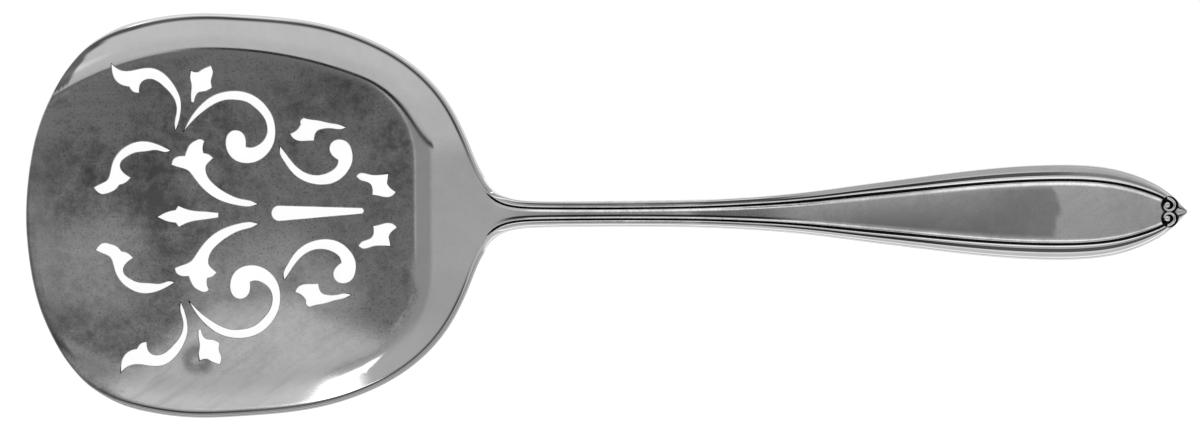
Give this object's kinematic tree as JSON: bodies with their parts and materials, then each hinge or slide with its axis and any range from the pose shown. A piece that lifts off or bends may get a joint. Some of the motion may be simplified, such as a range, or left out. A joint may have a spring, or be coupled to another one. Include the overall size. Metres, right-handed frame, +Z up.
{
  "type": "tomato server",
  "caption": "Broad pierced serving blade with a softly raised rim, on an arched handle with a thread border and curled tip, for lifting and draining sliced tomato",
  "frame": {"origin": "middle of the length and width of the bounding box, at the height of the flat underside of the blade", "axes": "+X along the length from the blade's front edge to the handle's tip, +Y across the blade, +Z up out of the blade's upper face"},
  "size_m": [0.197, 0.0686, 0.0125],
  "materials": {
    "silver_plate": "polished silver plate on nickel silver, lightly tarnished and scuffed with use, dark in the grooves"
  },
  "bodies": {
    "root": {"tomato_server": "silver_plate"}
  },
  "joints": []
}
